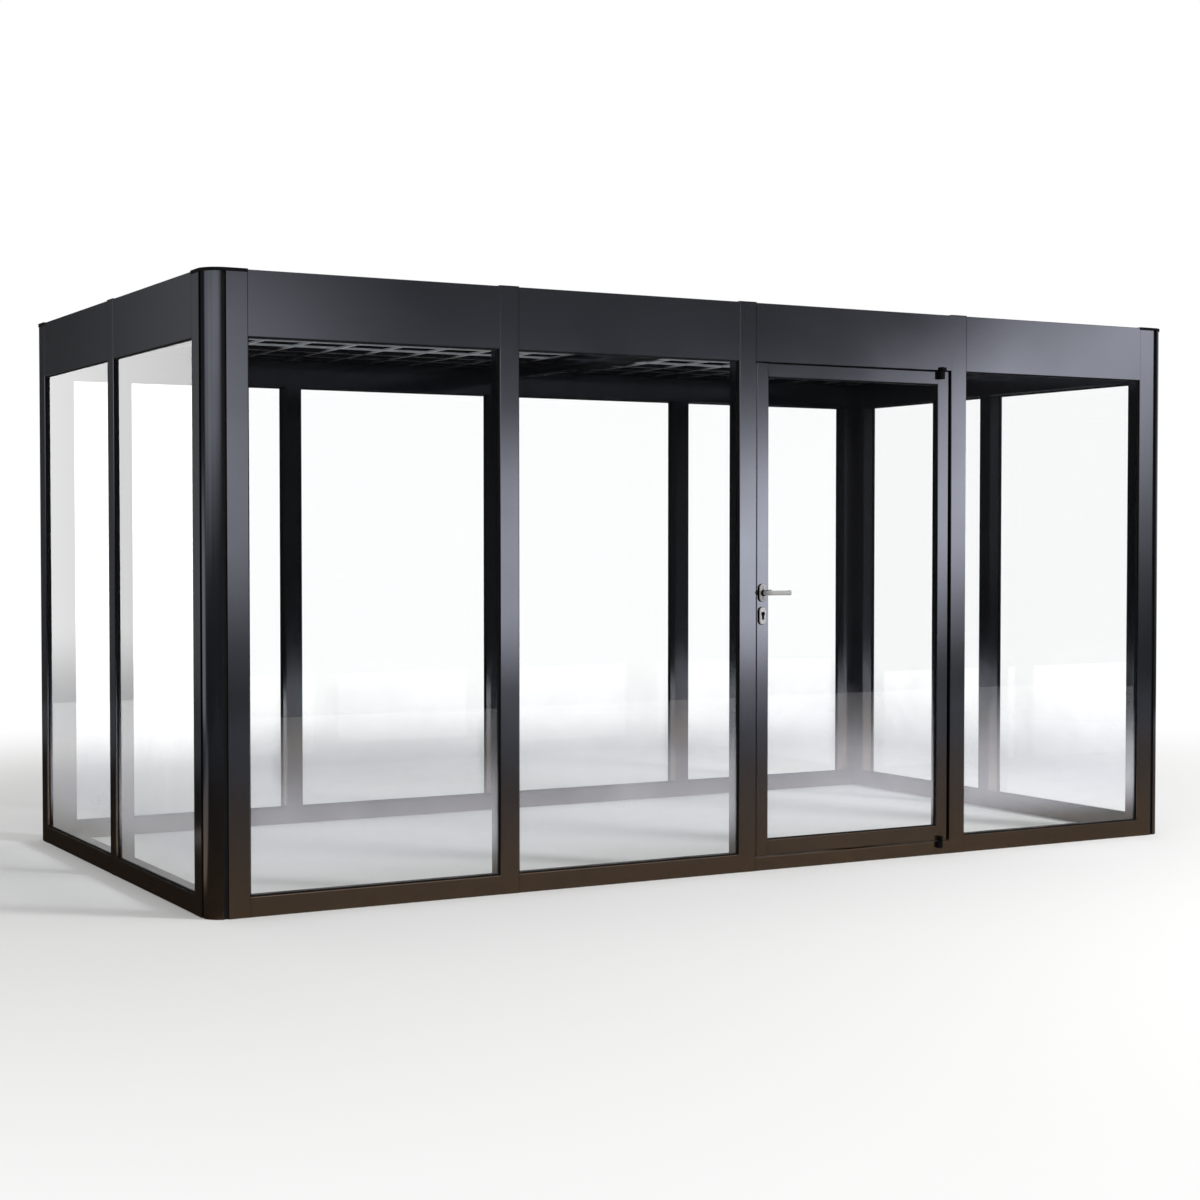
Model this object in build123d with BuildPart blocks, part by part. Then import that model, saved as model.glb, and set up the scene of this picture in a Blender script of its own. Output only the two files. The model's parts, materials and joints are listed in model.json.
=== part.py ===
from build123d import *
import os

# Flat-roofed garden greenhouse of aluminium posts and beams with full-height glass.
# Millimetres, +Z up, front towards -Y, origin on the ground under the middle of the whole.

# Counts
front_bays = 4
side_bays = 2
lattice_cells_along = 10
lattice_cells_across = 10

# Frame
post_height = 2300.0
post_size = 80.0
corner_radius = 76.0
bay_width = 994.0
side_bay_width = 978.0
fascia_height = 236.0
base_height = 72.0
sill_height = 55.0
profile_wall = 3.0
edge_break = 2.0

# Shadow grooves beside the rounded nose of a corner post
nose_groove_width = 18.0
nose_groove_depth = 12.0

# Caps on the posts, standing a little proud of the fascias
cap_proud = 3.0
corner_cap_thickness = 12.0
cap_overhang = 3.0

# Glazing, close behind the outer faces
glass_setback = 12.0
glass_thickness = 6.0
gasket_thickness = 3.0
glass_bite = 12.0
gasket_sight = 5.0
groove_play = 3.0

# Roof
ledge_width = 24.0
ledge_thickness = 5.0
roof_drop = 110.0
lattice_bar_width = 14.0
lattice_bar_height = 8.0
roof_panel_thickness = 16.0
roof_fit = 2.0
centre_beam_drop = 60.0

# Door leaf
latch_gap = 6.0
hinge_gap = 13.0
leaf_top_gap = 5.0
leaf_bottom_gap = 5.0
leaf_recess = 4.0
leaf_thickness = 40.0
stile_width = 56.0
top_rail_height = 54.0
bottom_rail_height = 62.0
leaf_wall = 2.5

# Door stop behind the latch stile
stop_gap = 5.0
stop_lap = 3.0
stop_thickness = 14.0

# Pivot hinges
pivot_inset = 42.0
pivot_offset = 10.0
knuckle_radius = 9.0
lug_height = 12.0
sill_lug_height = 25.0
arm_height = 32.0
foot_arm_height = 20.0
pin_radius = 4.0
pin_length = 12.0
pin_clearance = 0.3
pivot_play = 1.5

# Handle set
lever_height = 1130.0
lever_backset = 24.0
lever_radius = 9.5
lever_projection = 52.0
lever_length = 105.0
lever_bend = 16.0
lever_end_flare = 1.2
lever_end_length = 5.0
lever_clearance = 0.8
spindle_width = 8.0
spindle_clearance = 0.9
rose_width = 32.0
rose_height = 73.0
rose_thickness = 10.0
key_drop = 85.0
cylinder_radius = 8.5
cylinder_tail_width = 10.0
cylinder_height = 33.0
cylinder_proud = 2.0
cylinder_clearance = 0.3

# Reach of every cut past the face that it opens
overrun = 1.0

# Sizes that follow
corner_size = corner_radius + post_size
bay_pitch = bay_width + post_size
side_bay_pitch = side_bay_width + post_size
width = 2 * corner_size + front_bays * bay_pitch - post_size
depth = 2 * corner_size + side_bays * side_bay_pitch - post_size
fascia_bottom = post_height - fascia_height
lattice_level = post_height - roof_drop
groove_width = glass_thickness + 2 * gasket_thickness
side_groove_depth = glass_bite + groove_play
glass_set = glass_setback + glass_thickness / 2
groove_back = glass_set + groove_width / 2
back_chamber_depth = post_size - groove_back - 2 * profile_wall
back_chamber_middle = groove_back + profile_wall + back_chamber_depth / 2

# The lever reaches furthest forward and the caps furthest back, so the whole is centred between them
front_reach = lever_projection + lever_radius + lever_end_flare - leaf_recess
front_y = (front_reach - cap_overhang - depth) / 2
rear_y = front_y + depth
left_x = -width / 2
right_x = width / 2

# Wall planes: local x runs along the wall, local y points inwards, local z is up
walls = {
    "front": Plane(origin=(left_x, front_y, 0), x_dir=(1, 0, 0), z_dir=(0, 0, 1)),
    "rear": Plane(origin=(right_x, rear_y, 0), x_dir=(-1, 0, 0), z_dir=(0, 0, 1)),
    "left": Plane(origin=(left_x, rear_y, 0), x_dir=(0, -1, 0), z_dir=(0, 0, 1)),
    "right": Plane(origin=(right_x, front_y, 0), x_dir=(0, 1, 0), z_dir=(0, 0, 1)),
}

# Start of each clear bay along its wall, and the clear width
front_starts = [corner_size + bay * bay_pitch for bay in range(front_bays)]
side_starts = [corner_size + bay * side_bay_pitch for bay in range(side_bays)]
# The door is in the bay just right of the middle
bays_before_door = front_bays // 2
door_start = front_starts[bays_before_door]
glazed_starts = front_starts[:bays_before_door] + front_starts[bays_before_door + 1:]

os.makedirs("parts", exist_ok=True)


def finish(part, name):
    part.label = name
    export_step(part, f"parts/{name}.step")


def beam_plane(wall, start, level):
    # Section plane of a beam: local x points inwards, local y up, the beam runs along the wall
    plane = walls[wall]
    return Plane(origin=plane.from_local_coords((start, 0, level)), x_dir=plane.y_dir, z_dir=plane.x_dir)


def face_plane(wall, inset):
    # Upright plane in a wall: local x runs along it, local y is up, the normal points outwards
    plane = walls[wall]
    return Plane(origin=plane.from_local_coords((0, inset, 0)), x_dir=plane.x_dir, z_dir=-plane.y_dir)


# Intermediate posts: a hollow square profile with a glazing groove in each glazed side, and its
# hollow widens behind the grooves
post_chamber_width = post_size - 2 * (side_groove_depth + profile_wall)
post_chamber_depth = post_size - 2 * profile_wall
back_chamber_width = post_size - 2 * profile_wall


def make_post(name, wall, start, groove_signs):
    with BuildPart() as post:
        with BuildSketch(walls[wall]) as section:
            with Locations((start + post_size / 2, post_size / 2)):
                Rectangle(post_size, post_size)
                chamfer(section.vertices(), edge_break)
                Rectangle(post_chamber_width, post_chamber_depth, mode=Mode.SUBTRACT)
            with Locations((start + post_size / 2, back_chamber_middle)):
                Rectangle(back_chamber_width, back_chamber_depth, mode=Mode.SUBTRACT)
            for sign in groove_signs:
                groove_middle = start + post_size / 2 + sign * (post_size - side_groove_depth + overrun) / 2
                with Locations((groove_middle, glass_set)):
                    Rectangle(side_groove_depth + overrun, groove_width, mode=Mode.SUBTRACT)
        extrude(amount=post_height)
    finish(post.part, name)


front_post_starts = [start + bay_width for start in front_starts[:-1]]
make_post("front_post_left", "front", front_post_starts[0], (-1, 1))
make_post("front_post_latch", "front", front_post_starts[1], (-1,))
make_post("front_post_hinge", "front", front_post_starts[2], (1,))
for name, start in zip(("rear_post_right", "rear_post_middle", "rear_post_left"), front_post_starts):
    make_post(name, "rear", start, (-1, 1))
make_post("left_side_post", "left", side_starts[0] + side_bay_width, (-1, 1))
make_post("right_side_post", "right", side_starts[0] + side_bay_width, (-1, 1))

# Corner posts: two hollow legs joined by a rounded nose, with a shadow groove at each end of the round
corner_planes = {
    "front_left": Plane(origin=(left_x, front_y, 0), x_dir=(1, 0, 0), z_dir=(0, 0, 1)),
    "front_right": Plane(origin=(right_x, front_y, 0), x_dir=(0, 1, 0), z_dir=(0, 0, 1)),
    "rear_right": Plane(origin=(right_x, rear_y, 0), x_dir=(-1, 0, 0), z_dir=(0, 0, 1)),
    "rear_left": Plane(origin=(left_x, rear_y, 0), x_dir=(0, -1, 0), z_dir=(0, 0, 1)),
}
leg_chamber_length = post_size - side_groove_depth - 2 * profile_wall
leg_chamber_middle = corner_radius + profile_wall + leg_chamber_length / 2
nose_chamber_radius = corner_radius - nose_groove_depth - profile_wall
nose_groove_middle = corner_radius - nose_groove_width / 2
corner_groove_middle = corner_size - (side_groove_depth - overrun) / 2
corner_post_height = post_height + cap_proud - corner_cap_thickness
leg_back_length = post_size - 2 * profile_wall
leg_back_middle = corner_radius + post_size / 2


def corner_outline(grow):
    # Outline of a corner post: an L with its outer corner rounded, its long faces grown by an overhang
    reach = corner_size
    inner = post_size + grow
    round_end = corner_radius
    with BuildLine() as outline:
        faces = Polyline(
            (round_end, -grow), (reach, -grow), (reach, inner), (inner, inner), (inner, reach),
            (-grow, reach), (-grow, round_end),
        )
        RadiusArc(faces @ 1, faces @ 0, -round_end - grow)
    make_face(outline.edges())


def nose_chamber():
    # Quarter-round hollow behind the nose, a wall clear of the shadow grooves
    nose_centre = (corner_radius, corner_radius)
    with BuildLine() as hollow:
        nose = CenterArc(nose_centre, nose_chamber_radius, 180, 90)
        Polyline(nose @ 1, nose_centre, nose @ 0)
    make_face(hollow.edges(), mode=Mode.SUBTRACT)


for corner, plane in corner_planes.items():
    with BuildPart() as corner_post:
        with BuildSketch(plane) as section:
            corner_outline(0)
            chamfer(section.vertices().group_by(Axis.X)[-1] + section.vertices().group_by(Axis.Y)[-1], edge_break)
            with Locations((leg_chamber_middle, post_size / 2)):
                Rectangle(leg_chamber_length, post_chamber_depth, mode=Mode.SUBTRACT)
            with Locations((post_size / 2, leg_chamber_middle)):
                Rectangle(post_chamber_depth, leg_chamber_length, mode=Mode.SUBTRACT)
            with Locations((leg_back_middle, back_chamber_middle)):
                Rectangle(leg_back_length, back_chamber_depth, mode=Mode.SUBTRACT)
            with Locations((back_chamber_middle, leg_back_middle)):
                Rectangle(back_chamber_depth, leg_back_length, mode=Mode.SUBTRACT)
            nose_chamber()
            with Locations((nose_groove_middle, 0)):
                Rectangle(nose_groove_width, 2 * nose_groove_depth, mode=Mode.SUBTRACT)
            with Locations((0, nose_groove_middle)):
                Rectangle(2 * nose_groove_depth, nose_groove_width, mode=Mode.SUBTRACT)
            with Locations((corner_groove_middle, glass_set)):
                Rectangle(side_groove_depth + overrun, groove_width, mode=Mode.SUBTRACT)
            with Locations((glass_set, corner_groove_middle)):
                Rectangle(groove_width, side_groove_depth + overrun, mode=Mode.SUBTRACT)
        extrude(amount=corner_post_height)
    finish(corner_post.part, f"corner_post_{corner}")

# Caps: a thick plate that finishes each corner post, and a thin one on every other post
with BuildPart() as post_caps:
    for corner, plane in corner_planes.items():
        with BuildSketch(plane.offset(corner_post_height)):
            corner_outline(cap_overhang)
        extrude(amount=corner_cap_thickness)
    for wall, starts, clear in (
        ("front", front_starts, bay_width),
        ("rear", front_starts, bay_width),
        ("left", side_starts, side_bay_width),
        ("right", side_starts, side_bay_width),
    ):
        with BuildSketch(walls[wall].offset(post_height)):
            with Locations(*[(start + clear + post_size / 2, post_size / 2) for start in starts[:-1]]):
                Rectangle(post_size, post_size)
        extrude(amount=cap_proud)
finish(post_caps.part, "post_caps")

# Fascia beams: a tall hollow box between posts with an inner ledge for the roof, hollow above and
# behind its glazing groove
ledge_bottom = lattice_level - ledge_thickness - fascia_bottom
fascia_chamber_height = fascia_height - side_groove_depth - 2 * profile_wall
chamber_depth = post_size - 2 * profile_wall


def fascia_section(section, glazed):
    Rectangle(post_size, fascia_height, align=Align.MIN)
    chamfer(section.vertices(), edge_break)
    with Locations((post_size, ledge_bottom)):
        Rectangle(ledge_width, ledge_thickness, align=Align.MIN)
    with Locations((profile_wall, side_groove_depth + profile_wall)):
        Rectangle(chamber_depth, fascia_chamber_height, align=Align.MIN, mode=Mode.SUBTRACT)
    with Locations((groove_back + profile_wall, profile_wall)):
        Rectangle(back_chamber_depth, fascia_chamber_height, align=Align.MIN, mode=Mode.SUBTRACT)
    if glazed:
        with Locations((glass_set, (side_groove_depth - overrun) / 2)):
            Rectangle(groove_width, side_groove_depth + overrun, mode=Mode.SUBTRACT)


def make_fascia(wall, starts, clear, open_bay):
    with BuildPart() as fascia:
        for bay, start in enumerate(starts):
            with BuildSketch(beam_plane(wall, start, fascia_bottom)) as section:
                fascia_section(section, bay != open_bay)
            extrude(amount=clear)
    finish(fascia.part, f"{wall}_fascia")


make_fascia("front", front_starts, bay_width, bays_before_door)
make_fascia("rear", front_starts, bay_width, None)
make_fascia("left", side_starts, side_bay_width, None)
make_fascia("right", side_starts, side_bay_width, None)

# Base rails: a low hollow box between posts, with the groove that the panes stand in
base_chamber_height = base_height - glass_bite - 2 * profile_wall
base_hollow_height = base_height - 2 * profile_wall


def make_base_rails(name, wall, starts, clear):
    with BuildPart() as rails:
        for start in starts:
            with BuildSketch(beam_plane(wall, start, 0)) as section:
                Rectangle(post_size, base_height, align=Align.MIN)
                chamfer(section.vertices(), edge_break)
                with Locations((profile_wall, profile_wall)):
                    Rectangle(chamber_depth, base_chamber_height, align=Align.MIN, mode=Mode.SUBTRACT)
                with Locations((groove_back + profile_wall, profile_wall)):
                    Rectangle(back_chamber_depth, base_hollow_height, align=Align.MIN, mode=Mode.SUBTRACT)
                with Locations((glass_set, base_height - (glass_bite - overrun) / 2)):
                    Rectangle(groove_width, glass_bite + overrun, mode=Mode.SUBTRACT)
            extrude(amount=clear)
    finish(rails.part, name)


make_base_rails("front_base_rails", "front", glazed_starts, bay_width)
make_base_rails("rear_base_rails", "rear", front_starts, bay_width)
make_base_rails("left_base_rails", "left", side_starts, side_bay_width)
make_base_rails("right_base_rails", "right", side_starts, side_bay_width)

# Door sill: a plain hollow box, lower than the base rails
with BuildPart() as door_sill:
    with BuildSketch(beam_plane("front", door_start, 0)) as section:
        Rectangle(post_size, sill_height, align=Align.MIN)
        chamfer(section.vertices(), edge_break)
        with Locations((profile_wall, profile_wall)):
            Rectangle(chamber_depth, sill_height - 2 * profile_wall, align=Align.MIN, mode=Mode.SUBTRACT)
    extrude(amount=bay_width)
finish(door_sill.part, "door_sill")

# Fixed panes stand on the floor of the base groove and reach into the grooves around them
pane_bottom = base_height - glass_bite
pane_height = fascia_bottom + glass_bite - pane_bottom
pane_middle = pane_bottom + pane_height / 2
sight_height = fascia_bottom - base_height - 2 * gasket_sight
sight_middle = (fascia_bottom + base_height) / 2


def make_panes(name, wall, starts, clear):
    with BuildPart() as panes:
        with BuildSketch(face_plane(wall, glass_set)):
            with Locations(*[(start + clear / 2, pane_middle) for start in starts]):
                Rectangle(clear + 2 * glass_bite, pane_height)
        extrude(amount=glass_thickness / 2, both=True)
    finish(panes.part, name)


make_panes("front_glass", "front", glazed_starts, bay_width)
make_panes("rear_glass", "rear", front_starts, bay_width)
make_panes("left_glass", "left", side_starts, side_bay_width)
make_panes("right_glass", "right", side_starts, side_bay_width)

# Gaskets: a rubber frame on each face of every fixed pane, filling its groove
with BuildPart() as glazing_gaskets:
    for wall, starts, clear in (
        ("front", glazed_starts, bay_width),
        ("rear", front_starts, bay_width),
        ("left", side_starts, side_bay_width),
        ("right", side_starts, side_bay_width),
    ):
        for inset in (glass_set - glass_thickness / 2, glass_set + glass_thickness / 2 + gasket_thickness):
            with BuildSketch(face_plane(wall, inset)):
                with Locations(*[(start + clear / 2, pane_middle) for start in starts]):
                    Rectangle(clear + 2 * glass_bite, pane_height)
                with Locations(*[(start + clear / 2, sight_middle) for start in starts]):
                    Rectangle(clear - 2 * gasket_sight, sight_height, mode=Mode.SUBTRACT)
            extrude(amount=gasket_thickness)
finish(glazing_gaskets.part, "glazing_gaskets")

# Centre beam of the roof, from the middle front post to the middle rear post
beam_bottom = lattice_level - centre_beam_drop
beam_height = post_height - beam_bottom
beam_length = depth - 2 * post_size
beam_plane_front = Plane(origin=(0, front_y + post_size, beam_bottom), x_dir=(-1, 0, 0), z_dir=(0, 1, 0))
with BuildPart() as roof_centre_beam:
    with BuildSketch(beam_plane_front):
        with Locations((0, beam_height / 2)):
            Rectangle(post_size, beam_height)
            Rectangle(chamber_depth, beam_height - 2 * profile_wall, mode=Mode.SUBTRACT)
    extrude(amount=beam_length)
    # Its ledges stop short of the ledges on the fascias
    with BuildSketch(beam_plane_front.offset(ledge_width)):
        for side in (-1, 1):
            with Locations((side * (post_size + ledge_width) / 2, centre_beam_drop - ledge_thickness / 2)):
                Rectangle(ledge_width, ledge_thickness)
    extrude(amount=beam_length - 2 * ledge_width)
finish(roof_centre_beam.part, "roof_centre_beam")

# Roof fields: a lattice of crossing bars on the ledges, and a panel on the lattice
field_width = width / 2 - post_size - post_size / 2 - 2 * roof_fit
field_depth = depth - 2 * post_size - 2 * roof_fit
field_y = front_y + depth / 2
along_pitch = (field_width - lattice_bar_width) / lattice_cells_along
across_pitch = (field_depth - lattice_bar_width) / lattice_cells_across
for side, sign in (("left", -1), ("right", 1)):
    field_x = sign * (post_size / 2 + roof_fit + field_width / 2)
    with BuildPart() as ceiling_lattice:
        with BuildSketch(Plane.XY.offset(lattice_level)):
            with Locations((field_x, field_y)):
                with GridLocations(along_pitch, 0, lattice_cells_along + 1, 1):
                    Rectangle(lattice_bar_width, field_depth)
                with GridLocations(0, across_pitch, 1, lattice_cells_across + 1):
                    Rectangle(field_width, lattice_bar_width)
        extrude(amount=lattice_bar_height)
    finish(ceiling_lattice.part, f"ceiling_lattice_{side}")
    with BuildPart() as roof_panel:
        with BuildSketch(Plane.XY.offset(lattice_level + lattice_bar_height)):
            with Locations((field_x, field_y)):
                Rectangle(field_width, field_depth)
        extrude(amount=roof_panel_thickness)
    finish(roof_panel.part, f"roof_panel_{side}")

# Door leaf: two full-height stiles with rails between them
leaf_left = left_x + door_start + latch_gap
leaf_right = left_x + door_start + bay_width - hinge_gap
leaf_bottom = sill_height + leaf_bottom_gap
leaf_top = fascia_bottom - leaf_top_gap
leaf_front = front_y + leaf_recess
leaf_back = leaf_front + leaf_thickness
leaf_middle = (leaf_front + leaf_back) / 2
leaf_glass_y = leaf_front + glass_set
leaf_height = leaf_top - leaf_bottom
leaf_width = leaf_right - leaf_left
door_sight_left = leaf_left + stile_width
door_sight_right = leaf_right - stile_width
door_sight_bottom = leaf_bottom + bottom_rail_height
door_sight_top = leaf_top - top_rail_height
door_sight_width = door_sight_right - door_sight_left
stile_chamber_width = stile_width - side_groove_depth - 2 * leaf_wall
leaf_chamber_depth = leaf_thickness - 2 * leaf_wall
lever_x = leaf_left + lever_backset
key_height = lever_height - key_drop


def stile_section(section, outer_edge, sign):
    # Stile profile: sign points from the outer edge towards the pane
    with Locations((outer_edge + sign * stile_width / 2, leaf_middle)):
        Rectangle(stile_width, leaf_thickness)
    chamfer(section.vertices(), edge_break)
    with Locations((outer_edge + sign * (leaf_wall + stile_chamber_width / 2), leaf_middle)):
        Rectangle(stile_chamber_width, leaf_chamber_depth, mode=Mode.SUBTRACT)
    with Locations((outer_edge + sign * (stile_width - (side_groove_depth - overrun) / 2), leaf_glass_y)):
        Rectangle(side_groove_depth + overrun, groove_width, mode=Mode.SUBTRACT)


def cylinder_outline(grow):
    # Profile of a lock cylinder: a round barrel with a narrower tail below it
    tail_bottom = cylinder_height - cylinder_radius
    with Locations((lever_x, key_height)):
        Circle(cylinder_radius + grow)
    with Locations((lever_x, key_height - tail_bottom / 2)):
        Rectangle(cylinder_tail_width + 2 * grow, tail_bottom + 2 * grow)


# Upright planes in the leaf: local x along the front, local y up, extruded backwards
def leaf_plane(level_y):
    return Plane(origin=(0, level_y, 0), x_dir=(1, 0, 0), z_dir=(0, -1, 0))


with BuildPart() as door_latch_stile:
    with BuildSketch(Plane.XY.offset(leaf_bottom)) as section:
        stile_section(section, leaf_left, 1)
    extrude(amount=leaf_height)
    with BuildSketch(leaf_plane(leaf_front - overrun)):
        with Locations((lever_x, lever_height)):
            Circle(spindle_width / 2 ** 0.5 + spindle_clearance)
        cylinder_outline(cylinder_clearance)
    extrude(amount=-leaf_thickness - 2 * overrun, mode=Mode.SUBTRACT)
finish(door_latch_stile.part, "door_latch_stile")

with BuildPart() as door_hinge_stile:
    with BuildSketch(Plane.XY.offset(leaf_bottom)) as section:
        stile_section(section, leaf_right, -1)
    extrude(amount=leaf_height)
finish(door_hinge_stile.part, "door_hinge_stile")


def rail_plane(level):
    return Plane(origin=(door_sight_left, leaf_front, level), x_dir=(0, 1, 0), z_dir=(1, 0, 0))


with BuildPart() as door_top_rail:
    with BuildSketch(rail_plane(door_sight_top)) as section:
        Rectangle(leaf_thickness, top_rail_height, align=Align.MIN)
        chamfer(section.vertices(), edge_break)
        with Locations((leaf_wall, side_groove_depth + leaf_wall)):
            Rectangle(
                leaf_chamber_depth, top_rail_height - side_groove_depth - 2 * leaf_wall,
                align=Align.MIN, mode=Mode.SUBTRACT,
            )
        with Locations((glass_set, (side_groove_depth - overrun) / 2)):
            Rectangle(groove_width, side_groove_depth + overrun, mode=Mode.SUBTRACT)
    extrude(amount=door_sight_width)
finish(door_top_rail.part, "door_top_rail")

with BuildPart() as door_bottom_rail:
    with BuildSketch(rail_plane(leaf_bottom)) as section:
        Rectangle(leaf_thickness, bottom_rail_height, align=Align.MIN)
        chamfer(section.vertices(), edge_break)
        with Locations((leaf_wall, leaf_wall)):
            Rectangle(
                leaf_chamber_depth, bottom_rail_height - glass_bite - 2 * leaf_wall,
                align=Align.MIN, mode=Mode.SUBTRACT,
            )
        with Locations((glass_set, bottom_rail_height - (glass_bite - overrun) / 2)):
            Rectangle(groove_width, glass_bite + overrun, mode=Mode.SUBTRACT)
    extrude(amount=door_sight_width)
finish(door_bottom_rail.part, "door_bottom_rail")

# Door pane and its gaskets
door_sight_x = (door_sight_left + door_sight_right) / 2
door_sight_z = (door_sight_bottom + door_sight_top) / 2
door_sight_height = door_sight_top - door_sight_bottom
with BuildPart() as door_glass:
    with BuildSketch(leaf_plane(leaf_glass_y)):
        with Locations((door_sight_x, door_sight_z)):
            Rectangle(door_sight_width + 2 * glass_bite, door_sight_height + 2 * glass_bite)
    extrude(amount=glass_thickness / 2, both=True)
finish(door_glass.part, "door_glass")

with BuildPart() as door_gaskets:
    for face_y in (leaf_glass_y - glass_thickness / 2, leaf_glass_y + glass_thickness / 2 + gasket_thickness):
        with BuildSketch(leaf_plane(face_y)):
            with Locations((door_sight_x, door_sight_z)):
                Rectangle(door_sight_width + 2 * glass_bite, door_sight_height + 2 * glass_bite)
                Rectangle(
                    door_sight_width - 2 * gasket_sight, door_sight_height - 2 * gasket_sight,
                    mode=Mode.SUBTRACT,
                )
        extrude(amount=gasket_thickness)
finish(door_gaskets.part, "door_gaskets")

# Door stop: a strip on the latch post behind the leaf, from the sill to the fascia
with BuildPart() as door_stop:
    with BuildSketch(Plane.XY.offset(sill_height)):
        with Locations((leaf_left - latch_gap, leaf_back + stop_gap)):
            Rectangle(latch_gap + stop_lap, stop_thickness, align=Align.MIN)
    extrude(amount=fascia_bottom - sill_height)
finish(door_stop.part, "door_stop")

# Pivot hinges: a lug with a pin on the frame, and an arm with a bore on the leaf
pivot_x = leaf_right - pivot_inset
pivot_y = front_y - pivot_offset


def pivot_section(back):
    # A round knuckle on the pivot with a block back to the face that carries it
    with Locations((pivot_x, pivot_y)):
        Circle(knuckle_radius)
    with Locations((pivot_x, (pivot_y + back) / 2)):
        Rectangle(2 * knuckle_radius, back - pivot_y)


# Level of each pivot joint, the way its lug points, and the heights of lug and arm from there
pivot_ends = (
    (leaf_top, 1, leaf_top_gap + lug_height, arm_height),
    (leaf_bottom, -1, leaf_bottom_gap + sill_lug_height, foot_arm_height),
)
with BuildPart() as pivot_lugs:
    for level, sign, lug_reach, arm_reach in pivot_ends:
        with BuildSketch(Plane.XY.offset(level + sign * pivot_play)):
            pivot_section(front_y)
        extrude(amount=sign * (lug_reach - pivot_play))
        with BuildSketch(Plane.XY.offset(level + sign * pivot_play)):
            with Locations((pivot_x, pivot_y)):
                Circle(pin_radius)
        extrude(amount=-sign * pin_length)
finish(pivot_lugs.part, "pivot_lugs")

with BuildPart() as pivot_arms:
    for level, sign, lug_reach, arm_reach in pivot_ends:
        with BuildSketch(Plane.XY.offset(level)):
            pivot_section(leaf_front)
        extrude(amount=-sign * arm_reach)
        with BuildSketch(Plane.XY.offset(level)):
            with Locations((pivot_x, pivot_y)):
                Circle(pin_radius + pin_clearance)
        extrude(amount=-sign * pin_length, mode=Mode.SUBTRACT)
finish(pivot_arms.part, "pivot_arms")

# Roses: oval plates on both faces of the latch stile, around the lever and around the lock cylinder
key_rose_height = key_height + cylinder_radius - cylinder_height / 2
with BuildPart() as handle_roses:
    for face_y, sign in ((leaf_front, 1), (leaf_back, -1)):
        with BuildSketch(leaf_plane(face_y)):
            with Locations((lever_x, lever_height), (lever_x, key_rose_height)):
                SlotOverall(rose_height, rose_width, rotation=90)
        extrude(amount=sign * rose_thickness)
    with BuildSketch(leaf_plane(leaf_front - rose_thickness - overrun)):
        with Locations((lever_x, lever_height)):
            Circle(lever_radius + lever_clearance)
        cylinder_outline(cylinder_clearance)
    extrude(amount=-leaf_thickness - 2 * rose_thickness - 2 * overrun, mode=Mode.SUBTRACT)
finish(handle_roses.part, "handle_roses")

with BuildPart() as lock_cylinder:
    with BuildSketch(leaf_plane(leaf_front - rose_thickness - cylinder_proud)):
        cylinder_outline(0)
    extrude(amount=-leaf_thickness - 2 * rose_thickness - 2 * cylinder_proud)
finish(lock_cylinder.part, "lock_cylinder")

# Levers: a round bar that comes straight out of its rose and turns towards the hinge side in two mitres
lever_tip_x = lever_x + lever_length
for name, face_y, sign in (("outside_lever", leaf_front, -1), ("inside_lever", leaf_back, 1)):
    neck_y = face_y + sign * lever_clearance
    bar_y = face_y + sign * lever_projection
    with BuildPart() as lever:
        with BuildLine():
            Polyline(
                (lever_x, neck_y, lever_height), (lever_x, bar_y - sign * lever_bend, lever_height),
                (lever_x + lever_bend, bar_y, lever_height), (lever_tip_x, bar_y, lever_height),
            )
        with BuildSketch(Plane(origin=(lever_x, neck_y, lever_height), x_dir=(1, 0, 0), z_dir=(0, sign, 0))):
            Circle(lever_radius)
        sweep(transition=Transition.RIGHT)
        with BuildSketch(Plane(origin=(lever_tip_x, bar_y, lever_height), x_dir=(0, 1, 0), z_dir=(-1, 0, 0))):
            Circle(lever_radius + lever_end_flare)
        extrude(amount=lever_end_length)
        if sign < 0:
            with BuildSketch(Plane(origin=(lever_x, neck_y, lever_height), x_dir=(1, 0, 0), z_dir=(0, 1, 0))):
                Rectangle(spindle_width, spindle_width)
            extrude(amount=leaf_thickness + 2 * lever_clearance)
    finish(lever.part, name)
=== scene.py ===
import json
import math

import bmesh
import bpy
from mathutils import Matrix, Vector


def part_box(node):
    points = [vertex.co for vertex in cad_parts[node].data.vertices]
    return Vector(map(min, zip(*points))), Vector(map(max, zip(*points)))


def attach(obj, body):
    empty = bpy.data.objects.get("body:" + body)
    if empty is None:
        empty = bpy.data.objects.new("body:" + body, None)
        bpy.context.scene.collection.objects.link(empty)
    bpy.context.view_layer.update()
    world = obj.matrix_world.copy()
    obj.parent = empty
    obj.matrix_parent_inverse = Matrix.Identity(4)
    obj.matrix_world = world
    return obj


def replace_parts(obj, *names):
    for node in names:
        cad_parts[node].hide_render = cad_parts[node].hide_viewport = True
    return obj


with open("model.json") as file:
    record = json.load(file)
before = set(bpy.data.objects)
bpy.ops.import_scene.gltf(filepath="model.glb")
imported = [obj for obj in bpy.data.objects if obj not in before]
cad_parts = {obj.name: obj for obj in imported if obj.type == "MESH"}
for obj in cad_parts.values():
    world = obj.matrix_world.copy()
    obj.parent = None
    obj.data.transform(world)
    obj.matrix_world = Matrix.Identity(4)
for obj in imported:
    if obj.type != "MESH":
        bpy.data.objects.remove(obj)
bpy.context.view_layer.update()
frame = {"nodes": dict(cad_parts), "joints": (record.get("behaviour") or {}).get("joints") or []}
nodes = frame["nodes"]
joints = {joint["name"]: joint for joint in frame["joints"]}
mm = 0.001  # the scene is in metres
noiseLow, noiseHigh = 0.3, 0.7  # most of a noise lies between these
sharpAngle = 35.0  # degrees, edges bent more than this stay crisp
print("frame loaded,", len(nodes), "nodes")


# Small helpers

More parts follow.
